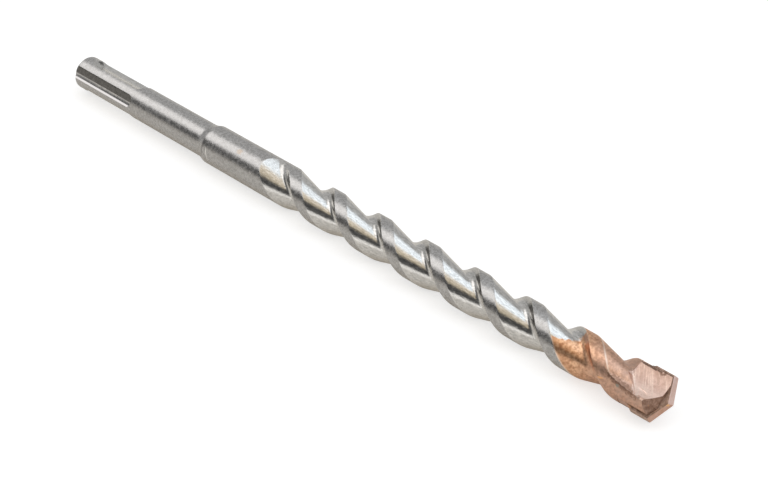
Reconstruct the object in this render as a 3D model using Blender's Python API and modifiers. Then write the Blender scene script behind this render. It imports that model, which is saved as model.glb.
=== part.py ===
"""Hammer drill bit: a grooved quick-change shank, a steel body with two spiral flutes, and a carbide
plate brazed into a slot across its point.

The bit is modelled upright on local Z, shank end at zero and point at the top, with local X along the
width of the carbide plate. An empty then lays it on its side: world X runs from shank to point.
"""
import math

import bmesh
import bpy
from mathutils import Matrix, Vector

MM = 0.001

# Turned steel blank
TOTAL_LENGTH = 210.0 * MM
SHANK_DIAMETER = 10.0 * MM
SHANK_LENGTH = 54.3 * MM
SHANK_END_CHAMFER = 1.6 * MM
NECK_CONE_LENGTH = 2.75 * MM
NECK_CONE_ROUNDING = 0.5 * MM
NECK_LENGTH = 23.25 * MM
BODY_DIAMETER = 11.5 * MM

# Two open grooves that drive the shank
DRIVE_GROOVE_LENGTH = 25.9 * MM
DRIVE_GROOVE_DEPTH = 1.6 * MM
DRIVE_GROOVE_FLOOR_WIDTH = 2.6 * MM
DRIVE_GROOVE_FLANK_ANGLE = math.radians(32)
DRIVE_GROOVE_DIRECTION = math.radians(119)

# Two closed grooves that hold the shank, a quarter turn from the open ones
LOCK_GROOVE_START = 4.2 * MM
LOCK_GROOVE_LENGTH = 22.3 * MM
LOCK_GROOVE_DEPTH = 1.6 * MM
LOCK_GROOVE_RADIUS = 8.0 * MM
LOCK_GROOVE_END_SLOPE = math.radians(40)

# Two spiral flutes, as a wheel of their own section cuts them
FLUTE_LEAD = 32.9 * MM
FLUTE_DEPTH = 2.3 * MM
FLUTE_LAND_WIDTH = 4.3 * MM
FLUTE_WALL_ANGLE = math.radians(70)
FLUTE_PLUNGE_TURN = math.radians(89)
FLUTE_EXIT_TURN = math.radians(24)
FLUTE_EXIT_SETBACK = 1.9 * MM
FLUTE_EXIT_DIRECTION = math.radians(126)
FLUTE_CLEARANCE = 0.3 * MM

# Ground end of the steel body, with a relief behind each lip and a hollow gash before it
HEAD_SETBACK = 2.4 * MM
LIP_SETBACK = 1.15 * MM
RELIEF_SETBACK = 1.05 * MM
RELIEF_ANGLE = math.radians(45)
GASH_DEPTH = 2.75 * MM
GASH_RADIUS = 14.0 * MM
GASH_DIRECTION = math.radians(71.5)
GASH_LENGTH = 11.4 * MM
GASH_SHORT_LENGTH = 8.4 * MM
GASH_EDGE_RAMP = math.radians(45)

# Carbide plate and its brazed slot, the plate's facets given as angles across the bit's own axis
PLATE_OVERHANG = 0.475 * MM
PLATE_THICKNESS = 3.1 * MM
PLATE_DIRECTION = math.radians(-3.5)
PLATE_SIDE_LENGTH = 5.9 * MM
PLATE_BACK_CHAMFER = 0.5 * MM
PLATE_LEADING_FALL = math.radians(20.5)
PLATE_LEADING_BEVEL = math.radians(33)
PLATE_TRAILING_FALL = math.radians(22.5)
PLATE_TRAILING_BEVEL = math.radians(18)
SEAT_GAP = 0.3 * MM
BRAZE_LENGTH = 2.6 * MM
BRAZE_RECESS = 0.25 * MM

# Facets of the round forms, and the facet that the lying bit rests on
FACETS = 28
REST_FACET = 4
ARC_STEPS = 7
CUT_MARGIN = 1.0 * MM
ON_PLANE = 0.001 * MM

FACET_TURN = 2 * math.pi / FACETS
SHANK_RADIUS = SHANK_DIAMETER / 2
BODY_RADIUS = BODY_DIAMETER / 2
PLATE_RADIUS = BODY_RADIUS + PLATE_OVERHANG
HALF_PLATE = PLATE_THICKNESS / 2
CONE_TOP = SHANK_LENGTH + NECK_CONE_LENGTH
LEADING_SLOPE = math.tan(PLATE_LEADING_FALL)
TRAILING_SLOPE = math.tan(PLATE_TRAILING_FALL)
PLATE_BACK = TOTAL_LENGTH - TRAILING_SLOPE * PLATE_RADIUS - PLATE_SIDE_LENGTH
BRAZE_TOP = PLATE_BACK - SEAT_GAP
BRAZE_BOTTOM = BRAZE_TOP - BRAZE_LENGTH
SLOT_BOTTOM = BRAZE_BOTTOM - SEAT_GAP


def clear_scene():
    """Remove every object that the file opens with."""
    for item in list(bpy.data.objects):
        bpy.data.objects.remove(item, do_unlink=True)


def new_collection(name):
    collection = bpy.data.collections.new(name)
    bpy.context.scene.collection.children.link(collection)
    return collection


def make_material(name, colour, roughness, metallic):
    material = bpy.data.materials.new(name)
    material.use_nodes = True
    shader = material.node_tree.nodes["Principled BSDF"]
    shader.inputs["Base Color"].default_value = (*colour, 1.0)
    shader.inputs["Roughness"].default_value = roughness
    shader.inputs["Metallic"].default_value = metallic
    return material


def add_object(name, mesh, collection, parent):
    item = bpy.data.objects.new(name, mesh)
    item.parent = parent
    collection.objects.link(item)
    return item


def mesh_from(bm, name):
    """Turn a finished bmesh into a mesh whose faces all point outwards."""
    bmesh.ops.recalc_face_normals(bm, faces=bm.faces)
    mesh = bpy.data.meshes.new(name)
    bm.to_mesh(mesh)
    bm.free()
    return mesh


def add_cutter(name, bm, collection, parent, turn=0.0):
    """A wire-drawn cutter, turned about the bit's axis."""
    cutter = add_object(name, mesh_from(bm, name), collection, parent)
    cutter.rotation_euler.z = turn
    cutter.display_type = "WIRE"
    cutter.hide_render = True
    return cutter


def cut(item, cutter, operation="DIFFERENCE"):
    modifier = item.modifiers.new(cutter.name, "BOOLEAN")
    modifier.operation = operation
    modifier.solver = "EXACT"
    modifier.object = cutter


def shade_round(item):
    item.data.shade_smooth()
    item.data.set_sharp_from_angle(angle=math.radians(30))


def grind(bm, point, normal):
    """Take away all that lies beyond a plane and close the cut with a flat face."""
    geometry = bm.verts[:] + bm.edges[:] + bm.faces[:]
    result = bmesh.ops.bisect_plane(
        bm, geom=geometry, dist=ON_PLANE, plane_co=point, plane_no=normal, clear_outer=True)
    rim = [part for part in result["geom_cut"] if isinstance(part, bmesh.types.BMEdge)]
    bmesh.ops.contextual_create(bm, geom=rim)


def prism(outline, start, end):
    """Extrude a flat outline of x, y points along local Z, from one height to another."""
    bm = bmesh.new()
    base = bm.faces.new([bm.verts.new((x, y, start)) for x, y in outline])
    grown = bmesh.ops.extrude_face_region(bm, geom=[base])
    top = [part for part in grown["geom"] if isinstance(part, bmesh.types.BMVert)]
    bmesh.ops.translate(bm, verts=top, vec=(0, 0, end - start))
    return bm


def roof_normal(along_x, along_y):
    """Normal of a plane through the point that falls by these slopes as x and y grow."""
    return Vector((along_x, along_y, 1)).normalized()


def arc_points(centre, radius, start, end, steps):
    """Points of an arc in the plane of radius and height, both ends included."""
    turns = [start + (end - start) * step / steps for step in range(steps + 1)]
    return [(centre[0] + radius * math.cos(turn), centre[1] + radius * math.sin(turn)) for turn in turns]


def blank_profile():
    """Outer line of the turned blank as radius and height, from the point down to the shank end."""
    cone_slope = math.atan2(BODY_RADIUS - SHANK_RADIUS, NECK_CONE_LENGTH)
    tangent = NECK_CONE_ROUNDING * math.tan(cone_slope / 2)
    centre = (BODY_RADIUS - NECK_CONE_ROUNDING, CONE_TOP + tangent)
    shoulder = arc_points(centre, NECK_CONE_ROUNDING, 0, -cone_slope, 2)
    return [
        (0, TOTAL_LENGTH),
        (BODY_RADIUS, TOTAL_LENGTH),
        *shoulder,
        (SHANK_RADIUS, SHANK_LENGTH),
        (SHANK_RADIUS, SHANK_END_CHAMFER),
        (SHANK_RADIUS - SHANK_END_CHAMFER, 0),
        (0, 0),
    ]


def turned_blank(name, collection, parent):
    """The blank as a profile turned by a Screw modifier, then read back as a mesh."""
    profile = bpy.data.meshes.new(name + "_profile")
    points = [(radius, 0, height) for radius, height in blank_profile()]
    profile.from_pydata(points, [(i, i + 1) for i in range(len(points) - 1)], [])
    guide = add_object(name + "_profile", profile, collection, None)
    turning = guide.modifiers.new("turning", "SCREW")
    turning.steps = FACETS
    turning.render_steps = FACETS
    turning.use_merge_vertices = True
    turning.merge_threshold = 0.01 * MM
    bpy.context.view_layer.update()
    solid = bpy.data.meshes.new_from_object(guide.evaluated_get(bpy.context.evaluated_depsgraph_get()))
    solid.name = name
    bpy.data.objects.remove(guide, do_unlink=True)
    return add_object(name, solid, collection, parent)


def head_gauge():
    """A long bar that gives the head its flat end, its fall along the lips and the relief behind them."""
    far = BODY_RADIUS + CUT_MARGIN
    end = TOTAL_LENGTH - HEAD_SETBACK
    bm = prism([(-far, -far), (far, -far), (far, far), (-far, far)], -CUT_MARGIN, end)
    lip = Vector((0, 0, TOTAL_LENGTH - LIP_SETBACK))
    for half in (1, -1):
        crest = Vector((0, half * HALF_PLATE, TOTAL_LENGTH - RELIEF_SETBACK))
        grind(bm, crest, roof_normal(-half * TRAILING_SLOPE, half * math.tan(RELIEF_ANGLE)))
        grind(bm, lip, roof_normal(half * LEADING_SLOPE, 0))
    return bm


def drive_groove():
    """Open groove with a flat floor and leaning flanks, cut along local X."""
    floor = SHANK_RADIUS - DRIVE_GROOVE_DEPTH
    top = SHANK_RADIUS + CUT_MARGIN
    half_floor = DRIVE_GROOVE_FLOOR_WIDTH / 2
    half_top = half_floor + (top - floor) * math.tan(DRIVE_GROOVE_FLANK_ANGLE)
    outline = [(floor, -half_floor), (top, -half_top), (top, half_top), (floor, half_floor)]
    return prism(outline, -CUT_MARGIN, DRIVE_GROOVE_LENGTH)


def lock_groove():
    """Closed groove with a hollow floor and sloped ends, cut along local X."""
    top = SHANK_RADIUS + CUT_MARGIN
    centre = (SHANK_RADIUS - LOCK_GROOVE_DEPTH + LOCK_GROOVE_RADIUS, 0)
    spread = math.acos((centre[0] - top) / LOCK_GROOVE_RADIUS)
    outline = arc_points(centre, LOCK_GROOVE_RADIUS, math.pi - spread, math.pi + spread, ARC_STEPS)
    end = LOCK_GROOVE_START + LOCK_GROOVE_LENGTH
    bm = prism(outline, LOCK_GROOVE_START - CUT_MARGIN, end + CUT_MARGIN)
    lean = math.cos(LOCK_GROOVE_END_SLOPE) / math.sin(LOCK_GROOVE_END_SLOPE)
    for height, sign in ((LOCK_GROOVE_START, -1), (end, 1)):
        grind(bm, Vector((SHANK_RADIUS, 0, height)), Vector((-lean, 0, sign)).normalized())
    return bm


def flute_arc():
    """Radius and centre of the arc in the flute's root, as it touches the depth and the wall's corner."""
    radius = FLUTE_DEPTH / (1 - math.cos(FLUTE_WALL_ANGLE))
    return radius, Vector((BODY_RADIUS - FLUTE_DEPTH + radius, -radius * math.sin(FLUTE_WALL_ANGLE)))


def flute_section():
    """Section of the flute wheel as radius and height, the height counted from the wall's corner.

    A straight slope runs down from the corner of the land behind, and an arc that it touches carries
    on through the root and up the steep wall. The outer side stays clear of the blank.
    """
    radius, centre = flute_arc()
    corner = Vector((BODY_RADIUS, FLUTE_LAND_WIDTH - FLUTE_LEAD / 2))
    reach = centre - corner
    slope = math.asin(radius / reach.length) - math.atan2(reach.x, reach.y)
    arc = arc_points(centre, radius, math.pi - FLUTE_WALL_ANGLE, math.pi + slope, ARC_STEPS)
    outside = BODY_RADIUS + CUT_MARGIN
    lip = (outside, CUT_MARGIN / math.tan(FLUTE_WALL_ANGLE))
    heel = (outside, corner.y - CUT_MARGIN / math.tan(slope))
    return [lip, *arc, heel]


def flute_span():
    """Turns at which the wheel first and last touches the blank, counted along the spiral."""
    wall_start = CONE_TOP + NECK_LENGTH - flute_arc()[1].y
    wall_end = TOTAL_LENGTH - FLUTE_EXIT_SETBACK
    return FLUTE_EXIT_DIRECTION - 2 * math.pi * (wall_end - wall_start) / FLUTE_LEAD, FLUTE_EXIT_DIRECTION


def flute_lift(turn):
    """How far the wheel stands off its full depth: it plunges in at the neck and leaves at the head."""
    start, end = flute_span()
    plunge = max(0.0, (start + FLUTE_PLUNGE_TURN - turn) / FLUTE_PLUNGE_TURN)
    leave = max(0.0, (turn - end + FLUTE_EXIT_TURN) / FLUTE_EXIT_TURN)
    return (FLUTE_DEPTH + FLUTE_CLEARANCE) * (plunge ** 2 + leave ** 2)


def flute():
    """The space one flute takes up: its wheel section lofted along the spiral, rising at both ends.

    The sections stand over the middles of the blank's facets, so that none runs along a facet's edge.
    """
    section = flute_section()
    start, end = flute_span()
    wall_end = TOTAL_LENGTH - FLUTE_EXIT_SETBACK
    bm = bmesh.new()
    rings = []
    for step in range(math.floor(start / FACET_TURN), math.ceil(end / FACET_TURN)):
        turn = (step + 0.5) * FACET_TURN
        lift = flute_lift(turn)
        wall = wall_end + FLUTE_LEAD * (turn - end) / (2 * math.pi)
        ring = []
        for radius, offset in section:
            reach = radius + lift
            ring.append(bm.verts.new((reach * math.cos(turn), reach * math.sin(turn), wall + offset)))
        rings.append(ring)
    for ring, following in zip(rings, rings[1:]):
        for i in range(len(section)):
            j = (i + 1) % len(section)
            bm.faces.new((ring[i], ring[j], following[j], following[i]))
    bm.faces.new(rings[0])
    bm.faces.new(rings[-1])
    bmesh.ops.triangulate(bm, faces=bm.faces)
    return bm


def gash():
    """Hollow ground beside each lip, which opens the point into its flute. It is cut along local X."""
    far = BODY_RADIUS + CUT_MARGIN
    floor = BODY_RADIUS - GASH_DEPTH
    centre = (floor + GASH_RADIUS, 0)
    spread = math.asin(far / GASH_RADIUS)
    hollow = arc_points(centre, GASH_RADIUS, math.pi + spread, math.pi - spread, ARC_STEPS)
    bm = prism([*hollow, (2 * far, far), (2 * far, -far)], TOTAL_LENGTH - GASH_LENGTH - far, TOTAL_LENGTH)
    ramp = math.cos(GASH_EDGE_RAMP) / math.sin(GASH_EDGE_RAMP)
    level = Vector((floor, 0, TOTAL_LENGTH - GASH_LENGTH))
    grind(bm, level, Vector((-ramp, 0, -1)).normalized())
    short = Vector((floor, BODY_RADIUS / 2, TOTAL_LENGTH - GASH_SHORT_LENGTH))
    grind(bm, short, Vector((-ramp, 1, -1)).normalized())
    return bm


def plate_slot():
    """Slot across the head, open at the front and at both sides."""
    half = HALF_PLATE + SEAT_GAP
    far = BODY_RADIUS + CUT_MARGIN
    outline = [(-far, -half), (far, -half), (far, half), (-far, half)]
    return prism(outline, SLOT_BOTTOM, TOTAL_LENGTH + CUT_MARGIN)


def round_gauge(radius):
    """A long round bar that trims a flat piece to a diameter about the bit's axis."""
    bm = bmesh.new()
    length = TOTAL_LENGTH - SLOT_BOTTOM + 2 * CUT_MARGIN
    bmesh.ops.create_cone(
        bm, cap_ends=True, segments=2 * FACETS, radius1=radius, radius2=radius, depth=length,
        matrix=Matrix.Translation((0, 0, SLOT_BOTTOM - CUT_MARGIN + length / 2)))
    return bm


def carbide_plate():
    """Plate with a straight lip on each half, a bevel before and behind it, and chamfered back corners."""
    side = PLATE_RADIUS
    outline = [(-side, -HALF_PLATE), (side, -HALF_PLATE), (side, HALF_PLATE), (-side, HALF_PLATE)]
    bm = prism(outline, PLATE_BACK, TOTAL_LENGTH)
    point = Vector((0, 0, TOTAL_LENGTH))
    leading = LEADING_SLOPE, math.tan(PLATE_LEADING_BEVEL)
    trailing = TRAILING_SLOPE, -math.tan(PLATE_TRAILING_BEVEL)
    for half in (1, -1):
        for along, across in (leading, trailing):
            grind(bm, point, roof_normal(half * along, half * across))
        corner = Vector((half * (side - PLATE_BACK_CHAMFER), 0, PLATE_BACK))
        grind(bm, corner, Vector((half, 0, -1)).normalized())
    return mesh_from(bm, "carbide_plate")


def braze_filler():
    """Braze metal that fills the slot behind the plate, a little below the surface of the body."""
    side = BODY_RADIUS
    outline = [(-side, -HALF_PLATE), (side, -HALF_PLATE), (side, HALF_PLATE), (-side, HALF_PLATE)]
    return mesh_from(prism(outline, BRAZE_BOTTOM, BRAZE_TOP), "braze_filler")


def lay_down():
    """An empty that lays the bit on its side, on one flat of its turned outline."""
    rest = bpy.data.objects.new("bit_axis", None)
    bpy.context.scene.collection.objects.link(rest)
    roll = (REST_FACET + 0.5) * FACET_TURN
    rest.matrix_world = Matrix.Rotation(math.pi - roll, 4, "X") @ Matrix.Rotation(math.pi / 2, 4, "Y")
    return rest


def build():
    clear_scene()
    parts = new_collection("drill_bit")
    cutters = new_collection("cutters")
    axis = lay_down()

    body = turned_blank("drill_body", parts, axis)
    cut(body, add_cutter("head_gauge", head_gauge(), cutters, axis, PLATE_DIRECTION), "INTERSECT")
    cut(body, add_cutter("plate_slot", plate_slot(), cutters, axis, PLATE_DIRECTION))
    for number, turn in enumerate((0.0, math.pi), 1):
        gash_turn = GASH_DIRECTION + turn
        drive_turn = DRIVE_GROOVE_DIRECTION + turn
        lock_turn = drive_turn - math.pi / 2
        cut(body, add_cutter(f"flute_{number}", flute(), cutters, axis, turn))
        cut(body, add_cutter(f"gash_{number}", gash(), cutters, axis, gash_turn))
        cut(body, add_cutter(f"drive_groove_{number}", drive_groove(), cutters, axis, drive_turn))
        cut(body, add_cutter(f"lock_groove_{number}", lock_groove(), cutters, axis, lock_turn))

    plate = add_object("carbide_plate", carbide_plate(), parts, axis)
    plate.rotation_euler.z = PLATE_DIRECTION
    cut(plate, add_cutter("cutting_gauge", round_gauge(PLATE_RADIUS), cutters, axis), "INTERSECT")
    filler = add_object("braze_filler", braze_filler(), parts, axis)
    filler.rotation_euler.z = PLATE_DIRECTION
    inset = round_gauge(BODY_RADIUS - BRAZE_RECESS)
    cut(filler, add_cutter("braze_gauge", inset, cutters, axis), "INTERSECT")

    body.data.materials.append(make_material("blasted_steel", (0.42, 0.41, 0.40), 0.38, 1.0))
    plate.data.materials.append(make_material("coated_carbide", (0.52, 0.33, 0.26), 0.5, 1.0))
    filler.data.materials.append(make_material("braze_copper", (0.60, 0.30, 0.18), 0.45, 1.0))
    for item in (body, plate, filler):
        shade_round(item)


build()
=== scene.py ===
"""Looks of the drill bit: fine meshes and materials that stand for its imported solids.

Shapes are made upright on local Z, shank end at zero and point at the top, and then laid down like the
solids. Lengths are in metres and s is the distance from the shank's end. Half a turn brings the bit onto
itself, so its features come in pairs.
"""
import math
from types import SimpleNamespace

import bmesh
import bpy
import numpy as np
from mathutils import Matrix, Vector, noise

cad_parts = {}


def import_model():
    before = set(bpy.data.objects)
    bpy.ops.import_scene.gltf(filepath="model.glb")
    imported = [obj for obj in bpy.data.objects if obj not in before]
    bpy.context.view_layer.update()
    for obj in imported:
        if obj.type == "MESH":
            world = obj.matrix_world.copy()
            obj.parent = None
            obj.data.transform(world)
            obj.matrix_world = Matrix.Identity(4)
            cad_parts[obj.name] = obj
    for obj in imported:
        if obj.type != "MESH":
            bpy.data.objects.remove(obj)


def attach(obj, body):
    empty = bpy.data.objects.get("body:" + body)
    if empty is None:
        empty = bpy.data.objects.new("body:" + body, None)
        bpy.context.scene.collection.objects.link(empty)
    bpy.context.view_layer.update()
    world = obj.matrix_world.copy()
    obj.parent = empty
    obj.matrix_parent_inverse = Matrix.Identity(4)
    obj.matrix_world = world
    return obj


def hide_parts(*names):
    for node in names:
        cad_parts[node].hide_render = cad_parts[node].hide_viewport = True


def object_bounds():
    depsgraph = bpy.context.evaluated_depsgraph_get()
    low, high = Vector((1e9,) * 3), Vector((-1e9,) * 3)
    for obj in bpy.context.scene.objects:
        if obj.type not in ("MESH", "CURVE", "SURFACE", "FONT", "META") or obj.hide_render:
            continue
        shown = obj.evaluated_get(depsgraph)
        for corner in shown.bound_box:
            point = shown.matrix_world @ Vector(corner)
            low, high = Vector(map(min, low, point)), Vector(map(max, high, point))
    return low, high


MM = 0.001

# Turned outline
LENGTH = 210.0 * MM
SHANK_LENGTH = 54.3 * MM
CONE_LENGTH = 2.75 * MM
NECK_LENGTH = 23.25 * MM
SHANK_R = 5.0 * MM
BODY_R = 5.75 * MM
CHAMFER = 1.6 * MM
CONE_TOP = SHANK_LENGTH + CONE_LENGTH
FLUTES_FROM = CONE_TOP + NECK_LENGTH

# How far a cutter reaches past what it cuts
BEYOND = 1.0 * MM
FAR = BODY_R + BEYOND

# Grooves in the shank: two for the drive, open at its end, and two closed ones for the lock
GROOVE_END = 25.9 * MM
GROOVE_DEPTH = 1.6 * MM
GROOVE_FLOOR = SHANK_R - GROOVE_DEPTH
GROOVE_HALF = 1.3 * MM
GROOVE_FLANK = math.tan(math.radians(32))
GROOVE_WALL_TOP = 4.32 * MM
GROOVE_CHAMFER = 1.47
GROOVE_TURN = math.radians(119)
LOCK_START = 4.2 * MM
LOCK_END = 26.5 * MM
LOCK_DEPTH = 1.6 * MM
LOCK_R = 8.0 * MM
LOCK_SLOPE = math.radians(40)
LOCK_TURN = GROOVE_TURN - math.pi / 2

# Flutes, which plunge in at the neck and lift out at the head, each over a part of a turn
LEAD = 32.9 * MM
FLUTE_DEPTH = 2.3 * MM
LAND = 4.3 * MM
WALL_ANGLE = math.radians(70)
WALL_REACH = 2.0 * MM
ROOT_R = FLUTE_DEPTH / (1 - math.cos(WALL_ANGLE))
ROOT_AT = -ROOT_R * math.sin(WALL_ANGLE)
PLUNGE_TURN = math.radians(89)
EXIT_TURN = math.radians(24)
EXIT_AT = LENGTH - 1.9 * MM
EXIT_DIRECTION = math.radians(126)
CLEARANCE = 0.3 * MM

# Head, gashes and plate
END_SETBACK = 2.4 * MM
LIP_SETBACK = 1.15 * MM
RELIEF_SETBACK = 1.05 * MM
RELIEF_SLOPE = 1.0
GASH_DEPTH = 2.9 * MM
GASH_R = 14.0 * MM
GASH_TURN = math.radians(71.5)
GASH_LENGTH = 11.4 * MM
GASH_SHORT = 8.4 * MM
PLATE_R = 6.225 * MM
HALF_PLATE = 1.55 * MM
PLATE_TURN = math.radians(-3.5)
LEADING_SLOPE = math.tan(math.radians(20.5))
LEADING_BEVEL = math.tan(math.radians(33))
TRAILING_SLOPE = math.tan(math.radians(22.5))
TRAILING_BEVEL = math.tan(math.radians(18))
PLATE_SIDE = 5.9 * MM
PLATE_CHAMFER = 0.5 * MM
PLATE_BACK = LENGTH - TRAILING_SLOPE * PLATE_R - PLATE_SIDE
SEAT = 0.3 * MM

# Braze metal behind the plate, and beads of it in the joint along both faces of the plate
BRAZE_LENGTH = 2.6 * MM
BRAZE_RISE = 0.6 * MM
BRAZE_RECESS = 0.12 * MM
BRAZE_PLAY = 0.01 * MM
SLOT_BOTTOM = PLATE_BACK - 2 * SEAT - BRAZE_LENGTH
BEAD_R = 0.20 * MM
BEAD_INSET = 0.08 * MM
BEAD_SINK = 0.05 * MM

# How far edges are worn round, on the flutes more after their first few millimetres
FLUTE_WEAR = (0.02 * MM, 0.07 * MM)
FLUTE_WEAR_AT = (FLUTES_FROM + 4 * MM, FLUTES_FROM + 12 * MM)
LOCK_WEAR = 0.10 * MM
PLATE_WEAR = 0.07 * MM

# Fineness of the meshes
COLUMNS = 128
STEP = LEAD / COLUMNS
SPIRAL_FROM = FLUTES_FROM - 5 * MM
GASH_STEPS = 24
BEAD_SIDES = 10
BEAD_SIDE_STEPS = 30
BEAD_END_STEPS = 48
TOUCHING = 0.001 * MM

# What stands where nothing is cut: a radius outside all others, and a height from a wall in millimetres
UNCUT = 1.0
NO_WALL = -9.0

# Places of the looks on the body and on the plate
STEEL, POCKET, GROUND_END, GROOVE = range(4)
LIPS, FACE, SIDE, HEELS = range(4)

# The bit lies on one of the flats that its turned outline has in the solids
FACETS = 28
REST_FACET = 4
LAY = (Matrix.Rotation(math.pi - (REST_FACET + 0.5) * 2 * math.pi / FACETS, 4, "X")
       @ Matrix.Rotation(math.pi / 2, 4, "Y"))

# Directions across the bit in the photo: straight up the picture, and towards the camera
UP = (0.0, 0.7588, 0.6513)
NEAR = (0.0, -0.6513, 0.7588)

# Where the copper film begins: its edge slants on the lands and bends in the flutes
FILM_ON_LANDS = 181.2 * MM
FILM_IN_FLUTES = 176.3 * MM
FILM_EVERYWHERE = 183.2 * MM
FILM_SLANT = -2.5 * MM
FILM_BEND = 8.0 * MM

# Camera: its lens in pixels of the photo, its place, and its right, upward and backward directions
IMAGE_WIDTH = 768
FOCAL_LENGTH = 1500
SENSOR_WIDTH = 36
CAMERA_AT = (0.3190, -0.2212, 0.2565)
CAMERA_RIGHT = (0.7497, 0.6618, -0.0093)
CAMERA_UP = (-0.4283, 0.4958, 0.7555)
CAMERA_BACK = (0.5045, -0.5624, 0.6551)


def laid(turn):
    """Direction across the bit as it lies, for a turn about its own axis."""
    return LAY.to_3x3() @ Vector((math.cos(turn), math.sin(turn), 0))


def wrapped(angle):
    return (angle + math.pi) % (2 * math.pi) - math.pi


# Turned and fluted body

def smooth_min(a, b, width):
    """The smaller of two radii, with their crossing rounded over about this width."""
    h = np.clip(0.5 + 0.5 * (b - a) / width, 0.0, 1.0)
    return b * (1 - h) + a * h - width * h * (1 - h)


def blank_radius(s):
    """Radius of the turned blank: chamfered end, shank, cone and neck.

    Each bend of the outline has points that round it, in millimetres along the bit and outwards.
    """
    bends = {
        (CHAMFER, SHANK_R): [(-0.1, -0.1), (0.02, -0.03), (0.25, 0)],
        (SHANK_LENGTH, SHANK_R): [(-0.2, 0), (0.15, 0.01), (0.5, 0.06), (1.0, 0.2)],
        (CONE_TOP, BODY_R): [(-0.35, -0.09), (-0.05, -0.02), (0.25, 0)],
    }
    profile = [(0, SHANK_R - CHAMFER)]
    for (place, radius), points in bends.items():
        profile += [(place + along * MM, radius + out * MM) for along, out in points]
    profile.append((LENGTH, BODY_R))
    return np.interp(s, *zip(*profile))


def flute_section(q):
    """Radius of a flute at a height from its wall's corner: straight from the heel, round root, wall."""
    centre = BODY_R - FLUTE_DEPTH + ROOT_R
    heel = LAND - LEAD / 2
    reach = (centre - BODY_R, ROOT_AT - heel)
    slope = math.asin(ROOT_R / math.hypot(*reach)) - math.atan2(*reach)
    straight = BODY_R + (heel - q) * math.tan(slope)
    arc = centre - np.sqrt(np.maximum(ROOT_R ** 2 - (q - ROOT_AT) ** 2, 0.0))
    wall = BODY_R + q * math.tan(WALL_ANGLE)
    return np.where(q < ROOT_AT - ROOT_R * math.sin(slope), straight, np.where(q > 0, wall, arc))


def flute_radius(turn, s):
    """Radius to which a flute is cut, and in millimetres the height from its wall's corner."""
    first = EXIT_DIRECTION - 2 * math.pi * (EXIT_AT - FLUTES_FROM + ROOT_AT) / LEAD
    laps = math.ceil((EXIT_AT - FLUTES_FROM) / LEAD) + 2
    best = np.full(turn.shape, UNCUT)
    from_wall = np.full(turn.shape, NO_WALL)
    for lap in range(-laps, 3):
        at = turn + 2 * math.pi * lap
        q = s - (EXIT_AT + LEAD * (at - EXIT_DIRECTION) / (2 * math.pi))
        inside = (q > -LEAD + STEP) & (q < WALL_REACH)
        plunge = np.maximum(0.0, (first + PLUNGE_TURN - at) / PLUNGE_TURN)
        leave = np.maximum(0.0, (at - EXIT_DIRECTION + EXIT_TURN) / EXIT_TURN)
        r = flute_section(q) + (FLUTE_DEPTH + CLEARANCE) * (plunge ** 2 + leave ** 2)
        from_wall = np.where(inside & (r < best), q / MM, from_wall)
        best = np.where(inside, np.minimum(best, r), best)
    return best, from_wall


def lock_radius(turn, s):
    """Radius of a closed lock groove with a hollow floor and sloped ends."""
    c = np.cos(turn)
    least = 0.3
    facing = np.maximum(c, least)
    centre = SHANK_R - LOCK_DEPTH + LOCK_R
    inner = (centre * c) ** 2 - centre ** 2 + LOCK_R ** 2
    hollow = centre * c - np.sqrt(np.maximum(inner, 0.0))
    floor = np.where((inner > 0) & (c > least), hollow, UNCUT)
    lean = math.tan(LOCK_SLOPE)
    start = (SHANK_R - (s - LOCK_START) * lean) / facing
    end = (SHANK_R - (LOCK_END - s) * lean) / facing
    return np.maximum(floor, np.maximum(start, end))


def body_form(turn, s):
    """Radius of the grooved body, depth of its cuts, and in millimetres the height from a flute's wall."""
    blank = blank_radius(s)
    r = blank.copy()
    wall = np.full(turn.shape, NO_WALL)
    wear = np.interp(s, FLUTE_WEAR_AT, FLUTE_WEAR)
    for half in (0.0, math.pi):
        flute, from_wall = flute_radius(wrapped(turn - half), s)
        wall = np.where(flute < r, from_wall, wall)
        r = smooth_min(r, flute, wear)
    lock = np.full(turn.shape, UNCUT)
    for half in (0.0, math.pi):
        lock = np.minimum(lock, lock_radius(wrapped(turn - LOCK_TURN - half), s))
    r = smooth_min(r, lock, LOCK_WEAR)
    return r, blank - r, wall


def body_rows():
    """Heights of the rows of vertices, close together where the shape changes."""
    steps = math.ceil((LENGTH - SPIRAL_FROM) / STEP)
    spiral = [EXIT_AT + STEP * k for k in range(-steps - 8, 8)]
    spiral = [s for s in spiral if SPIRAL_FROM < s < LENGTH - 0.5 * STEP]
    end = [0, 0.8, 1.45, 1.55, 1.62, 1.72, 1.85, 2.2, 3.5]
    start_of_lock = np.arange(4.4, 7.4, 0.15)
    grooves = [9, 12, 15, 18, 21, 23.5]
    end_of_grooves = np.arange(24.5, 27.9, 0.12)
    shank = [30, 34, 39, 44, 49, 52.5]
    cone = np.arange(53.8, 57.7, 0.15)
    neck = [59, 61, 64, 67, 70, 73]
    plain = np.concatenate([end, start_of_lock, grooves, end_of_grooves, shank, cone, neck])
    return np.concatenate([plain * MM, spiral, [LENGTH]])


def body_faces(rows):
    """Faces between the rows, split along the twist where the flutes run, and the two ends."""
    faces = []
    for j in range(len(rows) - 1):
        for i in range(COLUMNS):
            k = (i + 1) % COLUMNS
            a, b = j * COLUMNS + i, j * COLUMNS + k
            c, d = a + COLUMNS, b + COLUMNS
            if rows[j] > SPIRAL_FROM:
                faces += [(a, b, d), (a, d, c)]
            else:
                faces.append((a, b, d, c))
    faces.append(tuple(range(COLUMNS - 1, -1, -1)))
    faces.append(tuple((len(rows) - 1) * COLUMNS + i for i in range(COLUMNS)))
    return faces


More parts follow.
